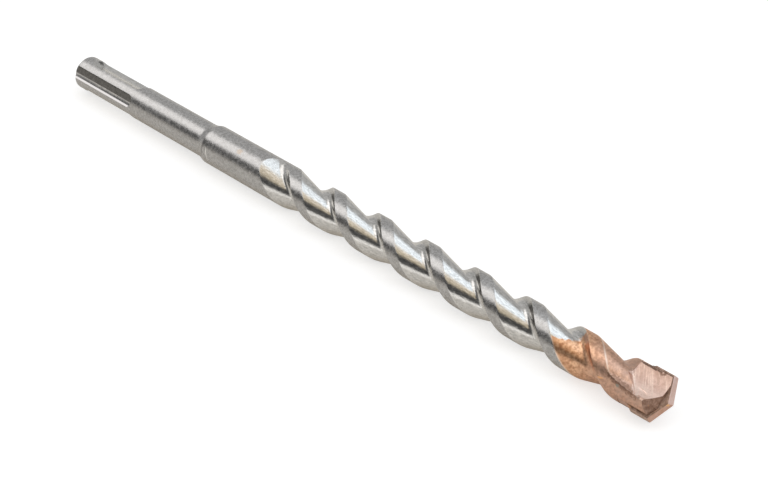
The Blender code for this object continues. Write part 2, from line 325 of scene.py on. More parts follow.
def turned_body():
    """The whole steel body as one skin, with flutes and lock grooves, before its head is ground.

    Its UV map holds in millimetres the depth of the cut and the height from the flute's wall.
    """
    rows = body_rows()
    turns = np.arange(COLUMNS) * 2 * math.pi / COLUMNS + EXIT_DIRECTION
    turn, s = np.meshgrid(turns, rows)
    r, depth, wall = body_form(turn, s)
    verts = np.stack([r * np.cos(turn), r * np.sin(turn), s], -1).reshape(-1, 3).tolist()
    mesh = bpy.data.meshes.new("bit_body")
    mesh.from_pydata(verts, [], body_faces(rows))
    layer = mesh.uv_layers.new(name="form")
    values = np.stack([depth.ravel() / MM, wall.ravel()], -1)
    index = np.empty(len(mesh.loops), dtype=np.int32)
    mesh.loops.foreach_get("vertex_index", index)
    layer.data.foreach_set("uv", values[index].astype(np.float32).ravel())
    mesh.update()
    return mesh


# Shapes and cuts

def prism(outline, start, end):
    bm = bmesh.new()
    base = bm.faces.new([bm.verts.new((x, y, start)) for x, y in outline])
    grown = bmesh.ops.extrude_face_region(bm, geom=[base])
    top = [part for part in grown["geom"] if isinstance(part, bmesh.types.BMVert)]
    bmesh.ops.translate(bm, verts=top, vec=(0, 0, end - start))
    return bm


def box(half_x, half_y, start, end):
    return prism([(-half_x, -half_y), (half_x, -half_y), (half_x, half_y), (-half_x, half_y)], start, end)


def round_bar(radius, start, end, segments=96):
    bm = bmesh.new()
    bmesh.ops.create_cone(
        bm, cap_ends=True, segments=segments, radius1=radius, radius2=radius, depth=end - start,
        matrix=Matrix.Translation((0, 0, (start + end) / 2)))
    return bm


def skin(bm, rings):
    """Close a tube through rings of vertices given in order."""
    count = len(rings[0])
    for a, b in zip(rings, rings[1:]):
        for i in range(count):
            j = (i + 1) % count
            bm.faces.new((a[i], a[j], b[j], b[i]))
    bm.faces.new(rings[0])
    bm.faces.new(rings[-1])


def grind(bm, point, normal):
    """Cut away what lies outside a plane and close the cut."""
    geometry = bm.verts[:] + bm.edges[:] + bm.faces[:]
    result = bmesh.ops.bisect_plane(
        bm, geom=geometry, dist=TOUCHING, plane_co=point, plane_no=normal, clear_outer=True)
    rim = [part for part in result["geom_cut"] if isinstance(part, bmesh.types.BMEdge)]
    bmesh.ops.contextual_create(bm, geom=rim)


def roof_normal(x, y):
    return Vector((x, y, 1)).normalized()


def rotated(bm, turn):
    bm.transform(Matrix.Rotation(turn, 4, "Z"))
    return bm


def mesh_of(bm, name, index=0):
    """Turn a bmesh into a mesh, with its faces outward and all at one place of the looks."""
    bmesh.ops.recalc_face_normals(bm, faces=bm.faces)
    for face in bm.faces:
        face.material_index = index
    mesh = bpy.data.meshes.new(name)
    bm.to_mesh(mesh)
    bm.free()
    return mesh


def piece(name, mesh):
    item = bpy.data.objects.new(name, mesh)
    bpy.context.scene.collection.objects.link(item)
    return item


def apply_modifiers(item):
    bpy.context.view_layer.update()
    graph = bpy.context.evaluated_depsgraph_get()
    mesh = bpy.data.meshes.new_from_object(item.evaluated_get(graph))
    item.modifiers.clear()
    item.data = mesh


def carve(item, cutters):
    """Apply Booleans in turn, each given as a mesh and an operation, and remove the cutters."""
    helpers = []
    for number, (mesh, operation) in enumerate(cutters):
        helper = piece(f"cutter_{number}", mesh)
        helpers.append(helper)
        modifier = item.modifiers.new(helper.name, "BOOLEAN")
        modifier.operation = operation
        modifier.solver = "EXACT"
        modifier.object = helper
    apply_modifiers(item)
    for helper in helpers:
        bpy.data.objects.remove(helper, do_unlink=True)


def lay_down(item, sharp):
    """Lay a shape down like the solids, and shade it smooth up to this angle in degrees."""
    item.data.transform(LAY)
    item.data.shade_smooth()
    item.data.set_sharp_from_angle(angle=math.radians(sharp))


# Body

def drive_groove(turn):
    """Cutter with a flat floor, a sloped flank, an upright wall with a chamfer, and a round end."""
    top = SHANK_R + BEYOND
    outline = [
        (GROOVE_FLOOR, -GROOVE_HALF),
        (GROOVE_FLOOR, GROOVE_HALF),
        (GROOVE_WALL_TOP, GROOVE_HALF),
        (top, GROOVE_HALF + (top - GROOVE_WALL_TOP) * GROOVE_CHAMFER),
        (top, -GROOVE_HALF - (top - GROOVE_FLOOR) * GROOVE_FLANK)]
    # Distance back from the groove's end, share of the wall's height, share of the width
    run_out = [
        (GROOVE_END + BEYOND, 0, 1), (1.4 * MM, 0, 1), (0.9 * MM, 0.3, 0.97), (0.4 * MM, 0.7, 0.82),
        (0, 0.95, 0.5)]
    bm = bmesh.new()
    rings = []
    for back, lift, width in run_out:
        ring = []
        for x, y in outline:
            if x < GROOVE_WALL_TOP:
                x += lift * (GROOVE_WALL_TOP - GROOVE_FLOOR)
            ring.append(bm.verts.new((x, y * width, GROOVE_END - back)))
        rings.append(ring)
    skin(bm, rings)
    return rotated(bm, turn)


def head_gauge():
    """Block that the steel head is ground to, with a flat top, lip slopes and reliefs."""
    bm = box(FAR, FAR, -BEYOND, LENGTH - END_SETBACK)
    for half in (1, -1):
        crest = Vector((0, half * HALF_PLATE, LENGTH - RELIEF_SETBACK))
        grind(bm, crest, roof_normal(-half * TRAILING_SLOPE, half * RELIEF_SLOPE))
        grind(bm, Vector((0, 0, LENGTH - LIP_SETBACK)), roof_normal(half * LEADING_SLOPE, 0))
    return rotated(bm, PLATE_TURN)


def gash(turn):
    """Hollow beside each lip, ground with a large wheel."""
    floor = BODY_R - GASH_DEPTH
    spread = math.asin(FAR / GASH_R)
    arc = [math.pi + spread - 2 * spread * k / GASH_STEPS for k in range(GASH_STEPS + 1)]
    hollow = [(floor + GASH_R + GASH_R * math.cos(a), GASH_R * math.sin(a)) for a in arc]
    bm = prism([*hollow, (2 * FAR, FAR), (2 * FAR, -FAR)], LENGTH - GASH_LENGTH - FAR, LENGTH)
    grind(bm, Vector((floor, 0, LENGTH - GASH_LENGTH)), Vector((-1, 0, -1)).normalized())
    short = Vector((floor, BODY_R / 2, LENGTH - GASH_SHORT))
    grind(bm, short, Vector((-1, 1, -1)).normalized())
    return rotated(bm, turn)


def plate_slot():
    return rotated(box(FAR, HALF_PLATE + SEAT, SLOT_BOTTOM, LENGTH + BEYOND), PLATE_TURN)


def make_body():
    """Steel body with a place for each of its looks, carved by one cutter after another."""
    item = piece("bit_body", turned_body())
    for _ in (STEEL, POCKET, GROUND_END, GROOVE):
        item.data.materials.append(None)
    carve(item, [
        (mesh_of(drive_groove(GROOVE_TURN), "drive_groove_1", GROOVE), "DIFFERENCE"),
        (mesh_of(drive_groove(GROOVE_TURN + math.pi), "drive_groove_2", GROOVE), "DIFFERENCE"),
        (mesh_of(head_gauge(), "ground_head", GROUND_END), "INTERSECT"),
        (mesh_of(gash(GASH_TURN), "gash_1", POCKET), "DIFFERENCE"),
        (mesh_of(gash(GASH_TURN + math.pi), "gash_2", POCKET), "DIFFERENCE"),
        (mesh_of(plate_slot(), "plate_slot", GROUND_END), "DIFFERENCE"),
    ])
    return item


# Plate

def plate_look(face):
    """Place of the look of one of the plate's faces: a wide face, a side or a ground facet."""
    wide = Vector((math.cos(PLATE_TURN), math.sin(PLATE_TURN), 0))
    thick = Vector((-math.sin(PLATE_TURN), math.cos(PLATE_TURN), 0))
    lean = face.normal.dot(thick)
    if abs(lean) > 0.9:
        return FACE
    if face.normal.z <= 0.4 or face.center.z <= PLATE_BACK + 1 * MM:
        return SIDE
    return LIPS if lean * face.normal.dot(wide) > 0 else HEELS


def make_plate():
    """Carbide plate with its four ground facets, its edges slightly worn round."""
    bm = box(PLATE_R, HALF_PLATE, PLATE_BACK, LENGTH)
    point = Vector((0, 0, LENGTH))
    for half in (1, -1):
        grind(bm, point, roof_normal(half * LEADING_SLOPE, half * LEADING_BEVEL))
        grind(bm, point, roof_normal(half * TRAILING_SLOPE, -half * TRAILING_BEVEL))
        corner = Vector((half * (PLATE_R - PLATE_CHAMFER), 0, PLATE_BACK))
        grind(bm, corner, Vector((half, 0, -1)).normalized())
    item = piece("tip_plate", mesh_of(rotated(bm, PLATE_TURN), "tip_plate"))
    gauge = round_bar(PLATE_R, PLATE_BACK - BEYOND, LENGTH + BEYOND)
    carve(item, [(mesh_of(gauge, "gauge"), "INTERSECT")])
    bevel = item.modifiers.new("worn edges", "BEVEL")
    bevel.width = PLATE_WEAR
    bevel.segments = 2
    bevel.limit_method = "ANGLE"
    bevel.angle_limit = math.radians(12)
    apply_modifiers(item)
    for face in item.data.polygons:
        face.material_index = plate_look(face)
    return item


# Braze metal

def head_height(x, y):
    """Height of the ground steel end above a point, in the plate's own turn."""
    top = LENGTH - END_SETBACK
    top = min(top, LENGTH - LIP_SETBACK - LEADING_SLOPE * abs(x))
    for half in (1, -1):
        drop = half * RELIEF_SLOPE * (y - half * HALF_PLATE) - half * TRAILING_SLOPE * x
        top = min(top, LENGTH - RELIEF_SETBACK - drop)
    return top


def bead_path(side):
    """Points along the joint on one face of the plate: up one side, across the end, down the other."""
    y = side * (HALF_PLATE + 0.5 * SEAT)
    rim = math.sqrt((BODY_R - BEAD_INSET) ** 2 - y ** 2)
    low = PLATE_BACK - SEAT
    points = []
    for k in range(BEAD_SIDE_STEPS + 1):
        points.append((-rim, y, low + (head_height(-rim, y) - low) * k / BEAD_SIDE_STEPS))
    for k in range(1, BEAD_END_STEPS):
        x = -rim + 2 * rim * k / BEAD_END_STEPS
        points.append((x, y, head_height(x, y) - BEAD_SINK))
    for k in range(BEAD_SIDE_STEPS + 1):
        top = head_height(rim, y)
        points.append((rim, y, top + (low - top) * k / BEAD_SIDE_STEPS))
    return [Vector(point) for point in points]


def bead_radius(centre, way):
    """Uneven radius of the bead, in a direction from a point of its path."""
    bumps = 0.07 * noise.noise((centre + way * MM) * 2600)
    waves = 0.09 * noise.noise(centre * 900)
    return BEAD_R + (bumps + waves) * MM


def make_bead(side):
    """Rough braze metal that fills the joint between the plate and the steel."""
    path = bead_path(side)
    across = Vector((0, 1, 0))
    bm = bmesh.new()
    rings = []
    for k, centre in enumerate(path):
        ahead = path[min(k + 1, len(path) - 1)] - path[max(k - 1, 0)]
        out = ahead.normalized().cross(across).normalized()
        ring = []
        for i in range(BEAD_SIDES):
            a = 2 * math.pi * i / BEAD_SIDES
            way = across * math.cos(a) + out * math.sin(a)
            ring.append(bm.verts.new(centre + way * bead_radius(centre, way)))
        rings.append(ring)
    skin(bm, rings)
    return mesh_of(rotated(bm, PLATE_TURN), "braze_bead")


def make_filler():
    """Braze metal behind the plate, a little below the surface of the steel."""
    half = HALF_PLATE + SEAT - BRAZE_PLAY
    bm = box(FAR, half, SLOT_BOTTOM + BRAZE_PLAY, PLATE_BACK + BRAZE_RISE)
    item = piece("braze_fill", mesh_of(rotated(bm, PLATE_TURN), "braze_fill"))
    gauge = round_bar(BODY_R - BRAZE_RECESS, SLOT_BOTTOM - BEYOND, LENGTH, 192)
    carve(item, [(mesh_of(gauge, "gauge"), "INTERSECT")])
    return item


# Node trees

class Shader:
    """A material's node tree, with short calls for its usual nodes."""

    def __init__(self, owner):
        owner.use_nodes = True
        self.tree = owner.node_tree
        self.tree.nodes.clear()

    def node(self, kind, inputs=None, **settings):
        made = self.tree.nodes.new("ShaderNode" + kind)
        for key, value in settings.items():
            setattr(made, key, value)
        for key, value in (inputs or {}).items():
            self.put(made.inputs[key], value)
        return made

    def put(self, socket, value):
        if isinstance(value, bpy.types.NodeSocket):
            self.tree.links.new(value, socket)
        elif isinstance(value, (tuple, list)) and socket.type == "RGBA":
            socket.default_value = (*value[:3], 1.0)
        else:
            socket.default_value = value

    def math(self, operation, a, b=0.0):
        return self.node("Math", {0: a, 1: b}, operation=operation).outputs[0]

    def ramp(self, value, low, high, to_low=0.0, to_high=1.0):
        inputs = {"Value": value, "From Min": low, "From Max": high, "To Min": to_low, "To Max": to_high}
        return self.node("MapRange", inputs, interpolation_type="SMOOTHSTEP").outputs["Result"]

    def mix(self, factor, a, b):
        """Mix two colours."""
        made = self.node("Mix", data_type="RGBA")
        self.put(made.inputs[0], factor)
        self.put(made.inputs[6], a)
        self.put(made.inputs[7], b)
        return made.outputs[2]

    def blend(self, factor, a, b):
        """Mix two single values."""
        made = self.node("Mix", data_type="FLOAT")
        self.put(made.inputs[0], factor)
        self.put(made.inputs[2], a)
        self.put(made.inputs[3], b)
        return made.outputs[0]

    def place(self):
        return self.node("TexCoord").outputs["Object"]

    def stretch(self, vector, x, y, z):
        return self.node("VectorMath", {0: vector, 1: (x, y, z)}, operation="MULTIPLY").outputs[0]

    def dot(self, vector, direction):
        made = self.node("VectorMath", {0: vector, 1: direction}, operation="DOT_PRODUCT")
        return made.outputs["Value"]

    def noise(self, vector, scale, detail=3.0, rough=0.6):
        inputs = {"Vector": vector, "Scale": scale, "Detail": detail, "Roughness": rough}
        return self.node("TexNoise", inputs).outputs["Fac"]

    def centred(self, value, width):
        """Spread a value from 0 to 1 evenly about zero, over this width."""
        return self.math("MULTIPLY", self.math("SUBTRACT", value, 0.5), width)

    def mark(self, spot, s, up, lean, length, width):
        """Mask of a small leaning oval on the side seen in the photo, at a distance and height in mm."""
        a = math.radians(lean)
        centre = Vector((s * MM, 0, 0)) + up * MM * Vector(UP)
        along = math.cos(a) * Vector((1, 0, 0)) + math.sin(a) * Vector(UP)
        across = -math.sin(a) * Vector((1, 0, 0)) + math.cos(a) * Vector(UP)
        total = self.centred(self.noise(spot, 2200, 3), 5.0)
        for direction, size in ((along, length), (across, width)):
            axis = direction / (size * MM)
            part = self.math("SUBTRACT", self.dot(spot, axis), centre.dot(axis))
            total = self.math("ADD", total, self.math("MULTIPLY", part, part))
        near = self.math("GREATER_THAN", self.dot(spot, NEAR), 0.0)
        return self.math("MULTIPLY", self.ramp(total, 1.6, 0.4), near)

    def marked(self, spot, colour, marks):
        """Lay marks over a colour: distance, height, lean in degrees, length, width, tint, strength."""
        for s, up, lean, length, width, tint, strength in marks:
            mask = self.math("MULTIPLY", self.mark(spot, s, up, lean, length, width), strength)
            colour = self.mix(mask, colour, tint)
        return colour

    def bump(self, height, distance, strength, normal=None):
        inputs = {"Height": height, "Distance": distance, "Strength": strength}
        if normal is not None:
            inputs["Normal"] = normal
        return self.node("Bump", inputs).outputs["Normal"]

    def metal(self, colour, roughness, normal, metallic=1.0):
        shader = self.node("BsdfPrincipled", {
            "Base Color": colour, "Roughness": roughness, "Metallic": metallic, "Normal": normal})
        self.node("OutputMaterial", {"Surface": shader.outputs[0]})


# Steel of the body

def body_fields(sh):
    """What the body's look is mixed by: place, height, form of the cut, and noises."""
    spot = sh.place()
    outward = sh.node("VectorMath", {0: sh.stretch(spot, 0, 1, 1)}, operation="NORMALIZE").outputs[0]
    form = sh.node("SeparateXYZ", {0: sh.node("UVMap", uv_map="form").outputs[0]})
    depth = form.outputs[0]
    return SimpleNamespace(
        spot=spot,
        s=sh.node("SeparateXYZ", {0: spot}).outputs[0],
        up=sh.dot(outward, UP),
        depth=depth,
        from_wall=form.outputs[1],
        in_flute=sh.ramp(depth, 0.02, 0.06),
        fine=sh.noise(spot, 3400, 4, 0.65),
        middle=sh.noise(spot, 1200, 4, 0.6),
        broad=sh.noise(spot, 240, 4, 0.6),
        streak=sh.noise(sh.stretch(spot, 0.2, 1, 1), 2600, 4, 0.65))


def bare_steel(sh, at):
    """Blasted steel, brighter and streaked along the bit in the flutes."""
    land = sh.mix(sh.ramp(at.middle, 0.3, 0.72), (0.44, 0.43, 0.42), (0.62, 0.61, 0.60))
    land = sh.mix(sh.ramp(at.fine, 0.55, 0.72, 0, 0.6), land, (0.26, 0.25, 0.24))
    flute = sh.mix(sh.ramp(at.streak, 0.3, 0.7), (0.58, 0.57, 0.55), (0.83, 0.815, 0.79))
    flute = sh.mix(sh.ramp(at.fine, 0.54, 0.70, 0, 0.65), flute, (0.27, 0.25, 0.21))
    return sh.mix(at.in_flute, land, flute)


def film_cover(sh, at):
    """Mask of the copper film, with a ragged edge."""
    slant = sh.math("MULTIPLY", at.up, FILM_SLANT)
    bend = sh.math("MULTIPLY", sh.math("POWER", sh.math("MAXIMUM", at.up, 0.0), 0.45), FILM_BEND)
    in_flutes = sh.math("ADD", FILM_IN_FLUTES, sh.math("MAXIMUM", bend, slant))
    in_flutes = sh.math("MINIMUM", in_flutes, FILM_EVERYWHERE)
    edge = sh.blend(at.in_flute, sh.math("ADD", FILM_ON_LANDS, slant), in_flutes)
    ragged = sh.math("ADD", sh.centred(at.broad, 4 * MM), sh.centred(at.middle, 2 * MM))
    beyond = sh.math("ADD", sh.math("SUBTRACT", at.s, edge), ragged)
    return sh.ramp(beyond, -0.3 * MM, 0.5 * MM)


def copper_film(sh, at, tipward):
    """Mottled film, orange where it begins, less so towards the point, and painted paler in the pockets as
    painted light.
    """
    film = sh.mix(tipward, (1.0, 0.62, 0.38), (0.80, 0.505, 0.365))
    dark = sh.mix(tipward, (0.56, 0.27, 0.15), (0.56, 0.34, 0.25))
    patches = sh.mix(tipward, (0.68, 0.36, 0.21), (0.62, 0.43, 0.35))
    film = sh.mix(sh.ramp(at.middle, 0.36, 0.66), film, dark)
    film = sh.mix(sh.ramp(at.broad, 0.42, 0.66, 0, 0.5), film, patches)
    # Painted light: deep in the flutes by the pockets the film is painted paler
    painted_light_by_pocket = sh.math("MULTIPLY", sh.ramp(at.s, 200.2 * MM, 201.0 * MM), sh.ramp(at.depth, 0.5, 0.9))
    film = sh.mix(sh.math("MULTIPLY", painted_light_by_pocket, 0.9), film, (0.95, 0.71, 0.60))
    return sh.mix(sh.ramp(at.fine, 0.54, 0.72, 0, 0.6), film, (0.36, 0.19, 0.12))


def flute_edge_highlight_and_wall_shade(sh, at, copper, colour):
    """Painted highlight as a bright line along the flutes' edges, and painted shade on their steep walls.
    """
    # Painted highlight: a bright line along the flutes' edges
    line = sh.math("MULTIPLY", sh.ramp(at.depth, 0.005, 0.04), sh.ramp(at.depth, 0.20, 0.07))
    worn = sh.math("MULTIPLY", line, sh.blend(copper, 0.25, 0.75))
    colour = sh.mix(worn, colour, sh.mix(copper, (0.78, 0.77, 0.75), (0.96, 0.78, 0.66)))
    # Painted shade on the flutes' steep walls, mottled and fainter towards the top
    wall = sh.math("MULTIPLY", sh.ramp(at.from_wall, -1.05, -0.8), sh.ramp(at.depth, 0.1, 0.3))
    wall = sh.math("MULTIPLY", wall, sh.ramp(at.up, 0.93, 0.74, 0.25, 1.0))
    scale = sh.math("MULTIPLY", wall, sh.ramp(at.middle, 0.2, 0.5, 0.75, 0.97))
    return sh.mix(scale, colour, sh.mix(copper, (0.11, 0.105, 0.095), (0.58, 0.35, 0.25)))


def seam_stain_and_shade(sh, at, colour):
    """Dark ragged band beside the plate, a braze stain with painted shade in the joint, narrower on its
    trailing side.
    """
    through = sh.dot(at.spot, laid(PLATE_TURN + math.pi / 2))
    sideways = sh.dot(at.spot, laid(PLATE_TURN))
    leading = sh.math("GREATER_THAN", sh.math("MULTIPLY", through, sideways), 0.0)
    narrowed = sh.math("ADD", sh.centred(at.middle, 0.8 * MM), sh.blend(leading, 0.6 * MM, 0.0))
    away = sh.math("ADD", sh.math("ABSOLUTE", through), narrowed)
    beside = sh.ramp(at.s, PLATE_BACK - 2.0 * MM, PLATE_BACK)
    # Braze stain and painted shade in the joint beside the plate
    seam = sh.math("MULTIPLY", sh.ramp(away, 2.8 * MM, 2.4 * MM), beside)
    return sh.mix(sh.math("MULTIPLY", seam, 0.85), colour, (0.17, 0.11, 0.08))


def steel_material():
    """Blasted steel, a copper film over the head, marks of its use, and some painted shade and highlights.
    """
    material = bpy.data.materials.new("blasted_steel")
    sh = Shader(material)
    at = body_fields(sh)
    copper = film_cover(sh, at)
    tipward = sh.ramp(at.s, 182 * MM, 195 * MM)
    colour = sh.mix(copper, bare_steel(sh, at), copper_film(sh, at, tipward))
    colour = flute_edge_highlight_and_wall_shade(sh, at, copper, colour)
    colour = sh.marked(at.spot, colour, [
        (69.7, 1.6, 0, 0.9, 0.75, (0.50, 0.41, 0.33), 0.7),
        # Painted shade on the lower side of the neck's cone
        (57.1, -1.9, -88, 2.4, 0.3, (0.22, 0.21, 0.20), 0.5),
        (58.9, -3.1, -75, 1.6, 0.18, (0.95, 0.94, 0.92), 0.9),
        (76.1, -1.9, -60, 0.55, 0.16, (0.90, 0.87, 0.84), 0.8),
        # Painted shade on the sloped start of a lock groove, then a painted highlight on its floor
        (5.4, 4.4, -15, 0.8, 0.5, (0.10, 0.10, 0.10), 0.85),
        (7.3, 4.2, 0, 1.4, 0.5, (0.96, 0.98, 1.0), 1.0),
        (193.0, -2.8, 15, 0.8, 0.2, (1.0, 0.56, 0.28), 0.9),
        # Painted shade on the last land under the flute's edge, then a painted highlight along the flute's
        # root by the pocket
        (198.6, -1.8, -11, 4.4, 0.9, (0.30, 0.17, 0.12), 0.8),
        (200.0, 0.2, -49, 2.6, 0.2, (0.95, 0.76, 0.66), 0.8),
        (197.7, -2.4, 0, 0.45, 0.35, (0.36, 0.38, 0.33), 0.7),
    ])
    colour = seam_stain_and_shade(sh, at, colour)
    on_land = sh.ramp(at.middle, 0.3, 0.7, 0.22, 0.34)
    in_flute = sh.ramp(at.streak, 0.3, 0.7, 0.12, 0.22)
    rough = sh.blend(at.in_flute, on_land, in_flute)
    rough = sh.blend(copper, rough, sh.blend(tipward, 0.35, 0.40))
    grain = sh.blend(at.in_flute, at.fine, at.streak)
    normal = sh.bump(grain, 0.04 * MM, 0.6)
    normal = sh.bump(at.middle, 0.06 * MM, 0.4, normal)
    sh.metal(colour, rough, normal)
    return material


# Other materials

def groove_material():
    """Milled steel of a drive groove: painted shade on most of it, on its wall and at its end, and a pale
    strip beside the wall, dashed midway.
    """
    material = bpy.data.materials.new("milled_groove")
    sh = Shader(material)
    spot = sh.place()
    along = sh.node("SeparateXYZ", {0: spot}).outputs[0]
    height = sh.dot(spot, laid(GROOVE_TURN))
    sideways = sh.dot(spot, laid(GROOVE_TURN + math.pi / 2))
    across = sh.math("MULTIPLY", sideways, sh.math("SIGN", height))
    height = sh.math("ABSOLUTE", height)
    middle = sh.noise(spot, 1200, 4, 0.6)
    fine = sh.noise(spot, 3400, 4, 0.65)
    dashes = sh.noise(sh.stretch(spot, 0.45, 1, 1), 1500, 2, 0.5)
    # Painted shade: dark steel over most of the groove
    colour = sh.mix(sh.ramp(middle, 0.3, 0.7), (0.20, 0.195, 0.185), (0.28, 0.275, 0.265))
    dashed_middle = sh.math("MULTIPLY", sh.ramp(along, 8 * MM, 10 * MM), sh.ramp(along, 20 * MM, 18 * MM))
    dashed_middle = sh.math("MULTIPLY", dashed_middle, sh.ramp(dashes, 0.50, 0.56))
    pale_strip = sh.mix(dashed_middle, (0.78, 0.77, 0.76), (1.0, 0.98, 0.95))
    colour = sh.mix(sh.ramp(across, 0.46 * MM, 0.58 * MM), colour, pale_strip)
    colour = sh.mix(sh.ramp(fine, 0.55, 0.72, 0, 0.5), colour, (0.18, 0.17, 0.16))
    # Painted shade at the groove's end and on its upright wall
    end = sh.ramp(along, GROOVE_END - 1.4 * MM, GROOVE_END - 1.1 * MM)
    dark = sh.math("MAXIMUM", end, sh.ramp(across, 1.2 * MM, 1.28 * MM))
    colour = sh.mix(dark, colour, (0.24, 0.24, 0.235))
    outer = sh.ramp(height, 4.25 * MM, 4.35 * MM)
    chamfer = sh.math("MULTIPLY", sh.ramp(across, 0.5 * MM, 1 * MM), outer)
    colour = sh.mix(chamfer, colour, (0.60, 0.585, 0.58))
    sh.metal(colour, 0.25, sh.bump(fine, 0.03 * MM, 0.5))
    return material


def wheel_lines(sh, spot):
    """Noise drawn out along the marks of the wheel, which fall across the pocket."""
    along = Vector((0.53, 0, 0)) - 0.85 * Vector(UP)
    across = Vector((0.85, 0, 0)) + 0.53 * Vector(UP)
    drawn_out = sh.math("MULTIPLY", sh.dot(spot, along), 0.06)
    flat = sh.node("CombineXYZ", {0: sh.dot(spot, across), 1: drawn_out})
    return sh.noise(flat.outputs[0], 2600, 3, 0.6)


def pocket_material():
    """Pale copper film over the wheel's marks in the hollow beside the lip, painted paler below as painted
    light.
    """
    material = bpy.data.materials.new("ground_pocket")
    sh = Shader(material)
    spot = sh.place()
    lines = wheel_lines(sh, spot)
    broad = sh.noise(spot, 420, 3)
    middle = sh.noise(spot, 1100, 4, 0.6)
    fine = sh.noise(spot, 4200, 3, 0.6)
    height = sh.math("MULTIPLY", sh.dot(spot, UP), sh.math("SIGN", sh.dot(spot, NEAR)))
    colour = sh.mix(sh.ramp(middle, 0.3, 0.72), (0.70, 0.485, 0.405), (0.56, 0.37, 0.295))
    colour = sh.mix(sh.ramp(broad, 0.42, 0.62, 0, 0.35), colour, (0.82, 0.62, 0.53))
    # Painted light: paler towards the pocket's lower side
    colour = sh.mix(sh.ramp(height, 1.8 * MM, -0.6 * MM, 0, 0.8), colour, (0.98, 0.74, 0.63))
    colour = sh.mix(sh.ramp(lines, 0.52, 0.66, 0, 0.8), colour, (0.90, 0.71, 0.60))
    colour = sh.mix(sh.ramp(fine, 0.54, 0.72, 0, 0.55), colour, (0.42, 0.26, 0.20))
    brown = (0.24, 0.14, 0.10)
    colour = sh.marked(spot, colour, [
        (201.3, 5.35, 0, 3.0, 0.3, (0.13, 0.08, 0.06), 0.95),
        # Painted highlight along the pocket's edge with the flute's root
        (200.0, 0.2, -49, 2.6, 0.25, (0.97, 0.78, 0.68), 0.8),
        (204.1, 5.0, -20, 0.6, 0.3, brown, 0.8),
        (204.9, 5.4, 40, 0.5, 0.4, brown, 0.9),
        (204.4, 3.4, -60, 1.1, 0.35, (0.52, 0.35, 0.28), 0.7),
        (203.4, 4.2, -30, 1.0, 0.4, (0.56, 0.38, 0.31), 0.6),
        (200.6, 3.0, -70, 1.2, 0.4, (0.58, 0.40, 0.33), 0.5),
    ])
    normal = sh.bump(lines, 0.05 * MM, 0.5)
    normal = sh.bump(middle, 0.05 * MM, 0.4, normal)
    sh.metal(colour, 0.42, normal)
    return material


def rough_material(name, dark, pale, orange=0.0, marks=()):
    """Rough copper-coloured metal, mottled between two colours, with orange glints of this strength."""
    material = bpy.data.materials.new(name)
    sh = Shader(material)
    spot = sh.place()
    middle = sh.noise(spot, 1000, 5, 0.65)
    fine = sh.noise(spot, 3600, 4, 0.65)
    colour = sh.mix(sh.ramp(middle, 0.35, 0.7), dark, pale)
    colour = sh.mix(sh.ramp(fine, 0.5, 0.72, 0, 0.5), colour, tuple(0.5 * value for value in dark))
    if orange:
        glint = sh.ramp(sh.noise(spot, 620, 2, 0.5), 0.66, 0.70, 0, orange)
        colour = sh.mix(glint, colour, (0.90, 0.46, 0.20))
    colour = sh.marked(spot, colour, marks)
    normal = sh.bump(fine, 0.06 * MM, 0.6)
    normal = sh.bump(middle, 0.12 * MM, 0.6, normal)
    sh.metal(colour, 0.5, normal, 0.9)
    return material


def plate_material(name, bare, coated, marks=()):
    """Ground carbide with a thin copper film that lets the bare carbide through in places."""
    material = bpy.data.materials.new(name)
    sh = Shader(material)
    spot = sh.place()
    middle = sh.noise(spot, 900, 4, 0.6)
    fine = sh.noise(spot, 4000, 4, 0.65)
    colour = sh.mix(sh.ramp(middle, 0.35, 0.68), bare, coated)
    colour = sh.mix(sh.ramp(fine, 0.55, 0.75, 0, 0.5), colour, (0.40, 0.27, 0.22))
    colour = sh.marked(spot, colour, marks)
    normal = sh.bump(fine, 0.04 * MM, 0.5)
    normal = sh.bump(middle, 0.06 * MM, 0.4, normal)
    sh.metal(colour, 0.42, normal, 0.95)
    return material


# Studio

def grey(value):
    return (value, value, value)


def strips(sh, place, stops):
    """Colours around the bit's axis: 0 degrees is level on the camera's side and 90 straight up."""
    ramp = sh.node("ValToRGB", {0: place})
    ramp.color_ramp.interpolation = "LINEAR"
    elements = ramp.color_ramp.elements
    while len(elements) > 1:
        elements.remove(elements[-1])
    for number, (angle, colour) in enumerate(stops):
        at = angle / 360 + 0.5
        element = elements[0] if number == 0 else elements.new(at)
        element.position = at
        element.color = (*colour, 1)
    return ramp.outputs[0]


def studio_light(sh):
    """Light from each direction. Turned surfaces mirror the plain strips, and slanting ones the others."""
    way = sh.node("SeparateXYZ", {0: sh.node("TexCoord").outputs["Generated"]})
    height = sh.math("ARCTAN2", way.outputs[2], sh.math("MULTIPLY", way.outputs[1], -1.0))
    place = sh.math("ADD", sh.math("DIVIDE", height, 2 * math.pi), 0.5)
    bright = (1.50, 1.48, 1.47)
    blue = (1.24, 1.34, 1.44)
    plain = strips(sh, place, [
        (-180, grey(0.5)), (-60, (0.55, 0.52, 0.48)), (7, (0.63, 0.60, 0.56)), (15, grey(0.14)),
        (47, grey(0.13)), (58, bright), (95, bright), (106, grey(0.55)), (179, grey(0.52))])
    slanted = strips(sh, place, [
        (-180, grey(0.6)), (12, (1.12, 1.10, 1.07)), (22, grey(0.08)), (49, grey(0.08)),
        (60, (0.66, 0.57, 0.43)), (82, (0.92, 0.83, 0.70)), (91, blue), (124, blue),
        (138, grey(0.44)), (179, grey(0.5))])
    light = sh.mix(sh.ramp(way.outputs[0], -0.30, -0.17), plain, slanted)
    return sh.mix(sh.ramp(way.outputs[0], -0.76, -0.90), light, grey(0.44))


